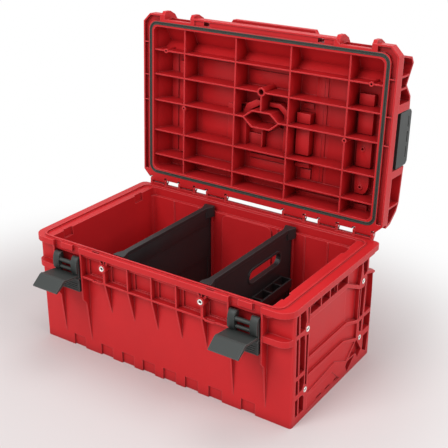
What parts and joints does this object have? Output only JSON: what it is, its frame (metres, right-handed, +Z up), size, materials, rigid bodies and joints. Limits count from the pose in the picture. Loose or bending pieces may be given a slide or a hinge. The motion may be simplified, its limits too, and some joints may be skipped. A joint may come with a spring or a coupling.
{
  "type": "tool box",
  "caption": "Modular tool box with a ribbed base, a hinged lid held open, sliding latches with levers and lift-out dividers.",
  "frame": {"origin": "middle of the underside of the base", "axes": "+X along the length to the right, +Y to the back where the hinge is, +Z up"},
  "size_m": [0.585, 0.5135, 0.6181],
  "materials": {
    "red_plastic": "satin",
    "dark_plastic": "satin",
    "black_plastic": "satin",
    "seal_rubber": "matte",
    "steel": "bright"
  },
  "bodies": {
    "base": {"base_shell": "red_plastic", "hinge_pin_left_inner": "steel", "hinge_pin_left_middle": "steel", "hinge_pin_left_outer": "steel", "hinge_pin_right_inner": "steel", "hinge_pin_right_middle": "steel", "hinge_pin_right_outer": "steel", "insert_front_left": "steel", "insert_front_right": "steel", "insert_left_back_lower": "steel", "insert_left_back_upper": "steel", "insert_left_front_lower": "steel", "insert_left_front_upper": "steel", "insert_right_back_lower": "steel", "insert_right_back_upper": "steel", "insert_right_front_lower": "steel", "insert_right_front_upper": "steel"},
    "lid": {"grip_pin_left_back": "steel", "grip_pin_left_front": "steel", "grip_pin_right_back": "steel", "grip_pin_right_front": "steel", "lid_seal": "seal_rubber", "lid_shell": "red_plastic", "side_grip_left": "dark_plastic", "side_grip_right": "dark_plastic"},
    "latch_left": {"latch_frame_left": "dark_plastic", "latch_pivot_pin_left": "steel"},
    "lever_left": {"latch_lever_left": "dark_plastic"},
    "latch_right": {"latch_frame_right": "dark_plastic", "latch_pivot_pin_right": "steel"},
    "lever_right": {"latch_lever_right": "dark_plastic"},
    "divider_left": {"divider_left": "black_plastic"},
    "divider_right": {"divider_right": "black_plastic", "tool_rack": "black_plastic"}
  },
  "joints": [
    {"name": "lid_hinge", "type": "hinge", "parent": "base", "child": "lid", "pos_m": [0, 0.181, 0.246], "axis": [-1, 0, 0], "range_deg": [-92.5, 0]},
    {"name": "latch_slide_left", "type": "slide", "parent": "base", "child": "latch_left", "axis": [0, 0.0722, -0.9974], "range_m": [-0.047, 0]},
    {"name": "lever_hinge_left", "type": "hinge", "parent": "latch_left", "child": "lever_left", "pos_m": [-0.2038, -0.1746, 0.17], "axis": [-1, 0, 0], "range_deg": [-97, 0]},
    {"name": "divider_lift_left", "type": "slide", "parent": "base", "child": "divider_left", "axis": [0, 0, 1], "range_m": [0, 0.21]},
    {"name": "latch_slide_right", "type": "slide", "parent": "base", "child": "latch_right", "axis": [0, 0.0722, -0.9974], "range_m": [-0.047, 0]},
    {"name": "lever_hinge_right", "type": "hinge", "parent": "latch_right", "child": "lever_right", "pos_m": [0.2038, -0.1746, 0.17], "axis": [-1, 0, 0], "range_deg": [-97, 0]},
    {"name": "divider_lift_right", "type": "slide", "parent": "base", "child": "divider_right", "axis": [0, 0, 1], "range_m": [0, 0.21]}
  ]
}
